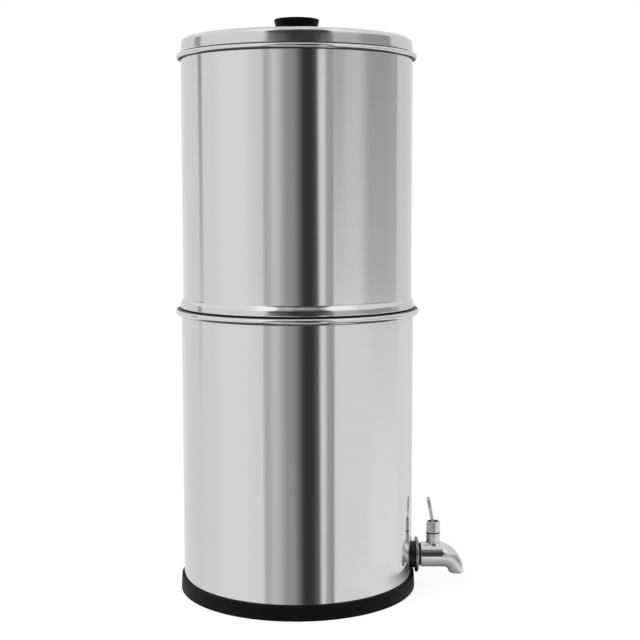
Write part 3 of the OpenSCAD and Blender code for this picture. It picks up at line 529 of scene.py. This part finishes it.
STEM_X = 131.1            # the upright axis of the bonnet, its cap and the valve
TAP = {
    "tube_x": 118.6, "tube_r": 12.0, "tube_edge": 0.5, "tube_ease": 0.4, "tube_end": 137.1,
    "shank_x": 95.5, "shank_r": 8.0, "shank_edge": 0.8,
    "bore_r": 4.5, "bore_end": 122.6, "bore_edge": 0.5,
    "bonnet_r": 6.7, "bonnet_straight": 6.0, "socket_z": 49.3, "socket_edge": 0.15, "blend": 2.0,
    "spigot_r": 5.45, "spigot_z": 53.5, "chamber_r": 4.3, "seat_z": 30.0, "seat_r": 3.0,
    "mouth_x": 154.4, "mouth_z": 10.0, "mouth_r": 4.2, "mouth_edge": 0.3, "mouth_depth": 3.5,
    "channel_r": 2.5, "channel_depth": 11.0,
}
# Cubic curves along the top and the underside of the spout, as (x, z), from tube to mouth.
SPOUT_PARTS = 32
SPOUT_TOP = [(137.1, 40.0), (148.3, 40.0), (162.7, 23.2), (160.8, 10.0)]
SPOUT_BELOW = [(137.1, 16.0), (149.1, 16.0), (144.2, 11.8), (148.0, 10.0)]
RING_SIDES = 72

# Cast stainless steel, ground and buffed by hand: bright, but softer than the sheet, with
# the slight waviness that hand polishing leaves.
tap_steel, tree, out = new_material("hand polished cast stainless steel")
place = add(tree, "ShaderNodeTexCoord").outputs["Object"]
waves = add(tree, "ShaderNodeTexNoise", Vector=place, Scale=120.0, Detail=2.0).outputs["Fac"]
fine = add(tree, "ShaderNodeTexNoise", Vector=place, Scale=1600.0, Detail=2.0).outputs["Fac"]
colour = add(tree, "ShaderNodeMix", {"data_type": "RGBA"}, Factor=fine,
             i6=linear("#CBCCCD"), i7=linear("#D2D3D4")).outputs[2]
rough = add(tree, "ShaderNodeMapRange", Value=fine, To_Min=0.1, To_Max=0.17).outputs[0]
bump = add(tree, "ShaderNodeBump", Strength=0.08, Distance=0.05 * MM, Height=waves).outputs[0]
shader = add(tree, "ShaderNodeBsdfPrincipled", Base_Color=colour, Metallic=1.0, Roughness=rough,
             Normal=bump)
tree.links.new(shader.outputs[0], out.inputs[0])


def bezier(points, u):
    """A point of a cubic curve in the XZ plane."""
    w = ((1 - u) ** 3, 3 * u * (1 - u) ** 2, 3 * u * u * (1 - u), u ** 3)
    return Vector((sum(k * p[0] for k, p in zip(w, points)), 0,
                   sum(k * p[1] for k, p in zip(w, points))))


def ring_between(bm, top, below, cap=False):
    """A round ring of vertices between two points of the XZ plane, in millimetres."""
    centre, half = (top + below) / 2 * MM, (top - below) / 2 * MM
    across = Vector((0, 1, 0))
    up = half.normalized()
    turn = Matrix((up, across, up.cross(across))).transposed().to_4x4()
    verts = bmesh.ops.create_circle(bm, cap_ends=cap, segments=RING_SIDES, radius=half.length,
                                    matrix=Matrix.Translation(centre) @ turn)["verts"]
    return verts


def skin(bm, rings):
    """Joins rings of vertices, in order, into one skin."""
    loops = [list({e for v in ring for e in v.link_edges if e.other_vert(v) in set(ring)})
             for ring in rings]
    for a, b in zip(loops, loops[1:]):
        bmesh.ops.bridge_loops(bm, edges=a + b)


def tube_ring(bm, x, radius, cap=False):
    """A ring square to the tap's axis."""
    return ring_between(bm, Vector((x, 0, TAP_Z + radius)), Vector((x, 0, TAP_Z - radius)), cap)


def level_ring(bm, x, z, radius, cap=False):
    """A level ring, wound the same way as the rings of the spout that come down to it."""
    return ring_between(bm, Vector((x + radius, 0, z)), Vector((x - radius, 0, z)), cap)


c = TAP
bm = bmesh.new()
rings = [tube_ring(bm, x, radius, cap) for x, radius, cap in (
    (c["bore_end"], c["bore_r"], True), (c["shank_x"] + c["bore_edge"], c["bore_r"], False),
    (c["shank_x"], c["bore_r"] + c["bore_edge"], False),
    (c["shank_x"], c["shank_r"] - c["shank_edge"], False),
    (c["shank_x"] + c["shank_edge"], c["shank_r"], False), (c["tube_x"], c["shank_r"], False),
    (c["tube_x"], c["tube_r"] - c["tube_edge"], False),
    (c["tube_x"] + c["tube_edge"], c["tube_r"], False),
    (c["tube_x"] + c["tube_edge"] + c["tube_ease"], c["tube_r"], False),
    (c["tube_end"] - EASE, c["tube_r"], False))]
for k in range(SPOUT_PARTS + 1):
    u = k / SPOUT_PARTS
    rings.append(ring_between(bm, bezier(SPOUT_TOP, u), bezier(SPOUT_BELOW, u)))
rings += [level_ring(bm, c["mouth_x"], z, radius, cap) for z, radius, cap in (
    (c["mouth_z"], c["mouth_r"] + c["mouth_edge"], False),
    (c["mouth_z"] + c["mouth_edge"], c["mouth_r"], False),
    (c["mouth_z"] + c["mouth_depth"], c["mouth_r"], False),
    (c["mouth_z"] + c["mouth_depth"], c["channel_r"], False),
    (c["mouth_z"] + c["channel_depth"], c["channel_r"], True))]
skin(bm, rings)
bmesh.ops.recalc_face_normals(bm, faces=bm.faces)
tube_top = BVHTree.FromBMesh(bm)
tap_body = finished("tap_casting", bm, tap_steel)

foot = bmesh.new()
rings = [level_ring(foot, STEM_X, z, radius, cap) for z, radius, cap in (
    (c["seat_z"] - 1.0, c["seat_r"], True), (c["seat_z"], c["seat_r"], False),
    (c["seat_z"], c["chamber_r"], False),
    (c["spigot_z"], c["chamber_r"], False), (c["spigot_z"], c["spigot_r"], False),
    (c["socket_z"], c["spigot_r"], False),
    (c["socket_z"], c["bonnet_r"] - c["socket_edge"], False),
    (c["socket_z"] - c["socket_edge"], c["bonnet_r"], False),
    (c["socket_z"] - EASE, c["bonnet_r"], False),
    (c["socket_z"] - c["bonnet_straight"], c["bonnet_r"], False))]
# The blend follows the tube's curve, as steps of (added radius, height over the tube). It lies
# a little deep, and its root goes down into the metal, so that the skins cross.
BLEND_SINK = 0.03
BLEND_ROOT = [(0.38, -0.12), (-0.2, -3.0)]
blend_steps = [(c["blend"] * (1 - math.cos(math.radians(t))),
                c["blend"] * (1 - math.sin(math.radians(t))) - BLEND_SINK)
               for t in (0, 11, 22, 33, 44, 56, 68, 79, 90)]
blend_steps += [(c["blend"] + wider, rise) for wider, rise in BLEND_ROOT]
for wider, rise in blend_steps:
    rings.append(level_ring(foot, STEM_X, c["tube_end"], c["bonnet_r"] + wider, cap=rise < -1))
    for v in rings[-1]:
        hit = tube_top.ray_cast(Vector((v.co.x, v.co.y, 60 * MM)), Vector((0, 0, -1)))[0]
        v.co.z = hit.z + rise * MM
skin(foot, rings)
bmesh.ops.recalc_face_normals(foot, faces=foot.faces)
# A Boolean joins the two skins: no bmesh operator closes the blend's edge on the round tube.
bonnet = finished("bonnet_socket", foot, tap_steel)
join = tap_body.modifiers.new("bonnet", "BOOLEAN")
join.operation = "UNION"
join.solver = "EXACT"
join.object = bonnet
evaluated = tap_body.evaluated_get(bpy.context.evaluated_depsgraph_get())
joined = bpy.data.meshes.new_from_object(evaluated)
tap_body.modifiers.clear()
tap_body.data = joined
bpy.data.objects.remove(bonnet)
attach(tap_body, "lower")
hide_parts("tap_body")


# ---------------------------------------------------------------- Tap flange
# A turned steel disc with a domed edge and a hub, clamped against the black washer, and
# the nut that holds the shank inside the chamber.

DISC = {"x": 113.2, "thick": 3.2, "radius": 17.2, "bore": 8.2, "hub": 9.0, "hub_length": 2.2}

# Stainless bar, turned and left satin: greyer than the buffed tap, with fine turning rings.
turned_steel, tree, out = new_material("satin turned stainless steel")
place = add(tree, "ShaderNodeTexCoord").outputs["Object"]
stretched = add(tree, "ShaderNodeMapping", Vector=place, Scale=(1500.0, 90.0, 90.0)).outputs[0]
rings = add(tree, "ShaderNodeTexNoise", Vector=stretched, Scale=1.0, Detail=3.0).outputs["Fac"]
colour = add(tree, "ShaderNodeMix", {"data_type": "RGBA"}, Factor=rings,
             i6=linear("#8E8F91"), i7=linear("#9C9D9F")).outputs[2]
rough = add(tree, "ShaderNodeMapRange", Value=rings, To_Min=0.18, To_Max=0.28).outputs[0]
shader = add(tree, "ShaderNodeBsdfPrincipled", Base_Color=colour, Metallic=1.0, Roughness=rough)
tree.links.new(shader.outputs[0], out.inputs[0])


def on_tap(bm, x):
    """Turns a mesh made round Z onto the tap's axis, its foot at the given distance."""
    bmesh.ops.transform(bm, verts=bm.verts, matrix=Matrix.Translation((x * MM, 0, TAP_Z * MM))
                        @ Matrix.Rotation(math.pi / 2, 4, "Y"))
    return bm


c = DISC
edge = c["thick"] / 2
path = [(c["bore"], 0), (c["radius"] - edge, 0), (c["radius"] - edge, edge, 180),
        (c["hub"], c["thick"]), (c["hub"], c["thick"] + c["hub_length"]),
        (c["bore"], c["thick"] + c["hub_length"])]
tap_disc = finished("tap_flange_disc", on_tap(turned(path, steps=144), c["x"]), turned_steel)
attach(tap_disc, "lower")
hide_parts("tap_disc")
finish_nodes(turned_steel, "tap_nut")


# ---------------------------------------------------------------- Bonnet cap
# A turned steel cap screwed on the bonnet, with a rounded top edge and the round mouth
# that the lever comes out of.

CAP = {"z": 50.3, "height": 10.5, "radius": 6.7, "edge": 1.0, "foot_edge": 0.2, "ease": 0.3,
       "mouth": 5.2, "thread": 5.5, "ledge": 54.8}

c = CAP
cap_top = c["z"] + c["height"]
path = [(c["thread"], c["z"]), (c["radius"] - c["foot_edge"], c["z"]),
        (c["radius"], c["z"] + c["foot_edge"]),
        (c["radius"], cap_top - c["edge"] - c["ease"]), (c["radius"], cap_top - c["edge"]),
        (c["radius"] - c["edge"], cap_top - c["edge"], 90), (c["mouth"], cap_top),
        (c["mouth"], c["ledge"]), (c["thread"], c["ledge"])]
bm = turned(path, steps=96)
bmesh.ops.translate(bm, verts=bm.verts, vec=(STEM_X * MM, 0, 0))
bonnet_cap = finished("tap_bonnet_cap", bm, tap_steel)
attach(bonnet_cap, "lower")
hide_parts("bonnet_cap")


# ---------------------------------------------------------------- Lever
# A forged paddle with a slotted fork. Its heel lifts the valve when the paddle is pulled
# forward. Above the neck it is drawn a little shorter and more upright than its solid.

PADDLE = {"neck_z": 62.0, "length_kept": 0.93, "straighter": 0.04, "ease": 0.55}

# Forged stainless steel, tumbled: an even soft grey in which no edge of the tent shows.
tumbled_steel, tree, out = new_material("tumbled forged stainless steel")
place = add(tree, "ShaderNodeTexCoord").outputs["Object"]
grain = add(tree, "ShaderNodeTexNoise", Vector=place, Scale=2200.0, Detail=3.0).outputs["Fac"]
colour = add(tree, "ShaderNodeMix", {"data_type": "RGBA"}, Factor=grain,
             i6=linear("#D2D3D4"), i7=linear("#DCDDDE")).outputs[2]
rough = add(tree, "ShaderNodeMapRange", Value=grain, To_Min=0.44, To_Max=0.54).outputs[0]
bump = add(tree, "ShaderNodeBump", Strength=0.06, Distance=0.02 * MM, Height=grain).outputs[0]
shader = add(tree, "ShaderNodeBsdfPrincipled", Base_Color=colour, Metallic=1.0, Roughness=rough,
             Normal=bump)
tree.links.new(shader.outputs[0], out.inputs[0])

c = PADDLE
bm = bmesh.new()
bm.from_mesh(nodes["lever"].data)
bmesh.ops.remove_doubles(bm, verts=bm.verts, dist=WELD * MM)
bmesh.ops.dissolve_limit(bm, angle_limit=math.radians(1), verts=bm.verts, edges=bm.edges)
for v in bm.verts:
    above = max(0.0, v.co.z - c["neck_z"] * MM)
    v.co.x += above * c["straighter"]
    v.co.z -= above * (1 - c["length_kept"])
lever = finished("tap_lever", bm, tumbled_steel, sharp=30)
ease = lever.modifiers.new("eased edges", "BEVEL")
ease.width = c["ease"] * MM
ease.segments = 4
ease.limit_method = "ANGLE"
ease.angle_limit = math.radians(40)
ease.use_clamp_overlap = True
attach(lever, "lever")
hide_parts("lever")


# ---------------------------------------------------------------- Studio
# A white sweep in a light tent. The polished walls mirror the tent round the stand: light
# cloths with thin seams, a dark doorway for the camera and a strip light beside it.

FLOOR_SIDE = 6.0
floor_mesh = bpy.data.meshes.new("sweep")
bm = bmesh.new()
bmesh.ops.create_grid(bm, x_segments=1, y_segments=1, size=FLOOR_SIDE / 2)
bm.to_mesh(floor_mesh)
bm.free()
floor = bpy.data.objects.new("sweep", floor_mesh)
bpy.context.scene.collection.objects.link(floor)
floor.visible_glossy = False

# White paper: it shows as plain white and keeps a faint shadow.
paper, tree, out = new_material("white paper")
rays = add(tree, "ShaderNodeLightPath")
matt = add(tree, "ShaderNodeBsdfDiffuse", Color=(0.16, 0.16, 0.16, 1))
glow = add(tree, "ShaderNodeEmission", Color=(0.87, 0.87, 0.87, 1),
           Strength=rays.outputs["Is Camera Ray"])
both = add(tree, "ShaderNodeAddShader", i0=matt.outputs[0], i1=glow.outputs[0])
tree.links.new(both.outputs[0], out.inputs[0])
floor_mesh.materials.append(paper)

world = bpy.data.worlds.new("light tent")
world.use_nodes = True
bpy.context.scene.world = world
tree = world.node_tree
tree.nodes.clear()
out = tree.nodes.new("ShaderNodeOutputWorld")
way = add(tree, "ShaderNodeSeparateXYZ",
          Vector=add(tree, "ShaderNodeTexCoord").outputs["Generated"])
back_y = add(tree, "ShaderNodeMath", {"operation": "MULTIPLY"}, i0=way.outputs["Y"], i1=-1.0)
turn = add(tree, "ShaderNodeMath", {"operation": "ARCTAN2"}, i0=way.outputs["X"],
           i1=back_y.outputs[0])
azimuth = add(tree, "ShaderNodeMath", {"operation": "DEGREES"}, i0=turn.outputs[0]).outputs[0]
tilt = add(tree, "ShaderNodeMath", {"operation": "ARCSINE"}, i0=way.outputs["Z"])
elevation = add(tree, "ShaderNodeMath", {"operation": "DEGREES"}, i0=tilt.outputs[0]).outputs[0]


def edge_at(value, middle, width):
    """Goes softly from 0 to 1 as the value passes the middle."""
    return add(tree, "ShaderNodeMapRange", {"interpolation_type": "SMOOTHSTEP"}, Value=value,
               From_Min=middle - width / 2, From_Max=middle + width / 2).outputs[0]


def blend_to(level, other, factor):
    """A level that changes to another by a factor."""
    return add(tree, "ShaderNodeMix", i0=factor, i2=level, i3=other).outputs[0]


def rising(low, high, start, end):
    """A level that changes evenly between two elevations."""
    climb = add(tree, "ShaderNodeMapRange", Value=elevation, From_Min=start, From_Max=end)
    return blend_to(low, high, climb.outputs[0])


def hung(level, *panels):
    """Panels hung round the tent from the back by the left to the front and the right: the
    azimuth at which each starts, how soft its edge is, and its level."""
    for start, softness, next_level in panels:
        level = blend_to(level, next_level, edge_at(azimuth, start, softness))
    return level


# The walls, up to chest height. The strip light beside the doorway leans a little.
lean = add(tree, "ShaderNodeMath", {"operation": "MULTIPLY_ADD"}, i0=elevation, i1=0.095,
           i2=azimuth)
walls = hung(
    0.88,                                                # back left cloth
    (-112.5, 4, rising(0.88, 0.34, -10, 8)),             # a sewn seam
    (-106.5, 4, 0.91),                                   # left cloth
    (-84, 16, 0.98),
    (-46, 18, rising(0.93, 0.85, -7, -4)),
    (-33, 5, 0.58),                                      # its seam at the doorway
    (-26, 6, rising(0.68, 0.77, -16, 5)),                # the doorway's grey curtain
    (-15, 13, 0.385),
    (0.8, 14, 0.045),                                    # the dark doorway
    (16.5, 6, 0.13))                                     # its jamb
walls = blend_to(walls, 0.90, edge_at(lean.outputs[0], 20.6, 5))
walls = hung(
    walls,
    (27.4, 4, 0.50),                                     # grey curtain
    (32, 8, rising(0.36, 0.44, -16, -6)),
    (35.8, 2.4, 0.93),                                   # right cloth
    (76, 16, rising(1.02, 0.86, -15, -6)),
    (116, 12, 0.93),
    (145, 30, 0.80))                                     # back right cloth
far_right = hung(
    walls,
    (35.8, 2.4, rising(0.80, 0.54, -4.5, 5.5)),          # the right cloth's upper half
    (47, 14, rising(0.83, 0.70, -4.5, 5.5)),
    (69, 16, rising(0.60, 0.45, -4.5, 5.5)),
    (101, 14, rising(0.62, 0.50, -4.5, 5.5)),
    (116, 6, 0.80))                                      # beyond its seam
walls = blend_to(walls, far_right, edge_at(elevation, -5.4, 2.4))

# Over the doorway hangs a dark valance, above it the tent's slope, then the bright roof. The
# back of the tent is dim at that height.
valance = hung(
    0.40, (-170, 10, 0.85), (-119, 6, 0.45), (-108, 5, 0.92), (-29, 9, 0.26), (-21, 8, 0.16),
    (-10, 14, 0.055), (17, 8, 0.10), (24, 6, 0.17), (30, 4, 0.28), (35, 4, 0.58), (64, 14, 0.41),
    (105, 6, 0.82))
slope_foot = hung(0.40, (-170, 10, 0.95), (-30, 8, 0.045), (34, 8, 0.9))
slope = hung(
    0.55, (-170, 10, 1.0), (-52, 20, 1.35), (-25, 8, 0.42), (-6, 8, 0.20), (30, 5, 0.55),
    (36, 5, 1.25), (70, 20, 0.95))
under = blend_to(0.12, 0.5, edge_at(azimuth, -32, 12))
under = blend_to(under, 0.12, edge_at(azimuth, 34, 12))
level = 0.11                                             # the shadow under the stand
for start, softness, next_level in (
        (-66, 8, under),            # the floor, white only near the front
        (-34, 10, 0.95),
        (-25, 6, walls),
        (7.6, 2, valance),
        (16, 5, slope_foot),
        (29, 9, slope),
        (55, 12, 0.95)):            # the roof
    level = blend_to(level, next_level, edge_at(elevation, start, softness))

rays = add(tree, "ShaderNodeLightPath")
PLAIN_LIGHT = 0.85
shown = blend_to(level, PLAIN_LIGHT, rays.outputs["Is Diffuse Ray"])
shown = blend_to(shown, 1.0, rays.outputs["Is Camera Ray"])
sky = add(tree, "ShaderNodeBackground", Color=(1, 1, 1, 1), Strength=shown)
tree.links.new(sky.outputs[0], out.inputs[0])

# A small white card lies on the floor under the tap and lightens the tap's underside. It is
# dimmer in the tap's own shadow, and only mirrored rays see it.
CARD = [(112, -210), (240, -210), (240, -60), (165, -20), (165, 50), (118, 50)]
CARD_Z = 1.0
CARD_WHITE, CARD_SHADED = 0.97, 0.06
card_mesh = bpy.data.meshes.new("card")
bm = bmesh.new()
bm.faces.new([bm.verts.new((x * MM, y * MM, CARD_Z * MM)) for x, y in CARD])
bm.to_mesh(card_mesh)
bm.free()
card = bpy.data.objects.new("card", card_mesh)
bpy.context.scene.collection.objects.link(card)
card.visible_camera = False
card.visible_diffuse = False
card.visible_shadow = False
card.visible_transmission = False

card_paper, tree, out = new_material("white card")
place = add(tree, "ShaderNodeTexCoord").outputs["Object"]
across = add(tree, "ShaderNodeSeparateXYZ", Vector=place)


def card_ramp(axis, start, end, **levels):
    """Goes softly from 0 to 1, or between the levels, from one place on the card to another."""
    return add(tree, "ShaderNodeMapRange", {"interpolation_type": "SMOOTHSTEP"},
               Value=across.outputs[axis], From_Min=start * MM, From_Max=end * MM,
               **levels).outputs[0]


shade = card_ramp("Y", -80, 35, To_Min=CARD_WHITE, To_Max=CARD_SHADED)
clear = card_ramp("X", 160, 182)
lit = add(tree, "ShaderNodeMix", i0=clear, i2=shade, i3=CARD_WHITE).outputs[0]
glow = add(tree, "ShaderNodeEmission", Color=(1, 1, 1, 1), Strength=lit)
# Its outer edges fade, so that the chambers mirror no hard corner of it.
kept = add(tree, "ShaderNodeMath", {"operation": "MULTIPLY"}, i0=card_ramp("Y", -210, -130),
           i1=card_ramp("X", 240, 170)).outputs[0]
clear_air = add(tree, "ShaderNodeBsdfTransparent")
faded = add(tree, "ShaderNodeMixShader", i0=kept, i1=clear_air.outputs[0], i2=glow.outputs[0])
tree.links.new(faded.outputs[0], out.inputs[0])
card_mesh.materials.append(card_paper)

# One soft lamp from the upper left gives the matt pieces their shape.
lamp_data = bpy.data.lights.new("overhead soft box", "AREA")
lamp_data.shape = "DISK"
lamp_data.size = 1.2
lamp_data.energy = 14.0
lamp = bpy.data.objects.new("overhead soft box", lamp_data)
bpy.context.scene.collection.objects.link(lamp)
lamp.location = (-0.9, -1.1, 1.7)
lamp.rotation_euler = (Vector((0, 0, 0.25)) - lamp.location).to_track_quat("-Z", "Y").to_euler()
lamp.visible_glossy = False

# The camera stands a little above the middle, looks down slightly and is all but level.
CAMERA_AT = Vector((0, -1.2032, 0.3814))
PITCH, YAW, ROLL = math.radians(5.887), math.radians(1.022), math.radians(-0.060)
ahead = Vector((math.sin(YAW) * math.cos(PITCH), math.cos(YAW) * math.cos(PITCH),
                -math.sin(PITCH)))
right = Vector((math.cos(YAW), -math.sin(YAW), 0))
up = right.cross(ahead)
side = right * math.cos(ROLL) + up * math.sin(ROLL)
top = up * math.cos(ROLL) - right * math.sin(ROLL)
camera_data = bpy.data.cameras.new("camera")
camera_data.lens = 71.33
camera_data.sensor_width = 36.0
camera = bpy.data.objects.new("camera", camera_data)
bpy.context.scene.collection.objects.link(camera)
camera.matrix_world = Matrix.Translation(CAMERA_AT) @ Matrix(
    (side, top, -ahead)).transposed().to_4x4()
bpy.context.scene.camera = camera

bpy.context.scene.view_settings.view_transform = "Standard"
